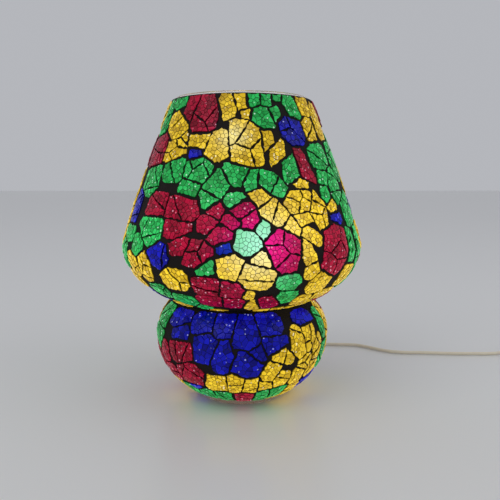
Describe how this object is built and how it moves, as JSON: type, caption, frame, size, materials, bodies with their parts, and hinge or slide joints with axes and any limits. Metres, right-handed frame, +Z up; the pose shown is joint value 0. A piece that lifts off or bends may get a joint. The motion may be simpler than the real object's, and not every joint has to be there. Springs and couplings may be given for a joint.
{
  "type": "table lamp",
  "caption": "Table lamp with a flared shade and round bowl of coloured crackle-glass mosaic in black grout, a lampholder and bulb inside, and a cord with inline switch and plug.",
  "frame": {"origin": "centre of the foot, on the surface the lamp stands on", "axes": "+Z up along the lamp's axis, -Y towards the viewer, +X to the viewer's right, where the cord ends"},
  "size_m": [0.5152, 0.2261, 0.248],
  "materials": {
    "blown_glass": "smooth blown glass, slightly frosted on the inside",
    "grout": "matt black filler with a lumpy surface",
    "red_glass": "crackled coloured glass, glossy",
    "yellow_glass": "crackled coloured glass, glossy",
    "green_glass": "crackled coloured glass, glossy",
    "blue_glass": "crackled coloured glass, glossy",
    "adhesive": "set silicone adhesive",
    "wood": "plain sawn softwood",
    "holder_plastic": "moulded thermoset",
    "contact_brass": "pressed sheet",
    "screw_steel": "plated steel",
    "lining_card": "pressed card sleeve",
    "cap_metal": "plated cap",
    "cap_insulator": "moulded insulator",
    "bulb_plastic": "satin moulding",
    "circuit_board": "coated board",
    "board_aluminium": "white-coated board",
    "diffuser_plastic": "translucent opal moulding",
    "cord_sheath": "smooth flexible sheath",
    "live_core": "core insulation",
    "neutral_core": "core insulation",
    "boot_rubber": "flexible moulding",
    "switch_plastic": "moulded case",
    "rocker_plastic": "moulded rocker",
    "tie_plastic": "flat tie",
    "plug_plastic": "moulded-on plug",
    "pin_metal": "nickel-plated brass"
  },
  "bodies": {
    "lamp": {"glass_body": "blown_glass", "shade_grout": "grout", "bowl_grout": "grout", "shade_red_pieces": "red_glass", "shade_yellow_pieces": "yellow_glass", "shade_green_pieces": "green_glass", "shade_blue_pieces": "blue_glass", "bowl_red_pieces": "red_glass", "bowl_yellow_pieces": "yellow_glass", "bowl_green_pieces": "green_glass", "bowl_blue_pieces": "blue_glass", "adhesive_bed": "adhesive", "wood_block": "wood", "holder_body": "holder_plastic", "holder_shell": "contact_brass", "holder_centre_contact": "contact_brass", "holder_side_contact": "contact_brass", "terminal_screws": "screw_steel", "mounting_screws": "screw_steel", "holder_lining": "lining_card", "inner_lead": "cord_sheath", "lead_live": "live_core", "lead_neutral": "neutral_core", "cord_boot": "boot_rubber", "cord_run": "cord_sheath", "switch_base": "switch_plastic", "switch_cover": "switch_plastic", "switch_axle": "screw_steel", "switch_contacts": "contact_brass", "switch_screws": "screw_steel", "cord_link": "cord_sheath", "cord_coil": "cord_sheath", "coil_tie": "tie_plastic", "cord_tail": "cord_sheath", "plug_body": "plug_plastic", "plug_pins": "pin_metal"},
    "bulb_lift": {"bulb_contact": "cap_metal", "bulb_insulator": "cap_insulator"},
    "bulb": {"bulb_cap": "cap_metal", "bulb_housing": "bulb_plastic", "bulb_driver": "circuit_board", "bulb_led_board": "board_aluminium", "bulb_diffuser": "diffuser_plastic"},
    "rocker": {"switch_rocker": "rocker_plastic"}
  },
  "joints": [
    {"name": "bulb_rise", "type": "slide", "parent": "lamp", "child": "bulb_lift", "axis": [0, 0, 1], "range_m": [0, 0.0182]},
    {"name": "bulb_unscrew", "type": "hinge", "parent": "bulb_lift", "child": "bulb", "pos_m": [0, 0, 0.1], "axis": [0, 0, 1], "range_deg": [0, 1800]},
    {"name": "switch_rock", "type": "hinge", "parent": "lamp", "child": "rocker", "pos_m": [0.326, 0.087, 0.0114], "axis": [0, -1, 0], "range_deg": [0, 20]}
  ],
  "couplings": [
    {"joint": "bulb_rise", "follows": "bulb_unscrew", "m_per_rad": 0.0005776}
  ]
}
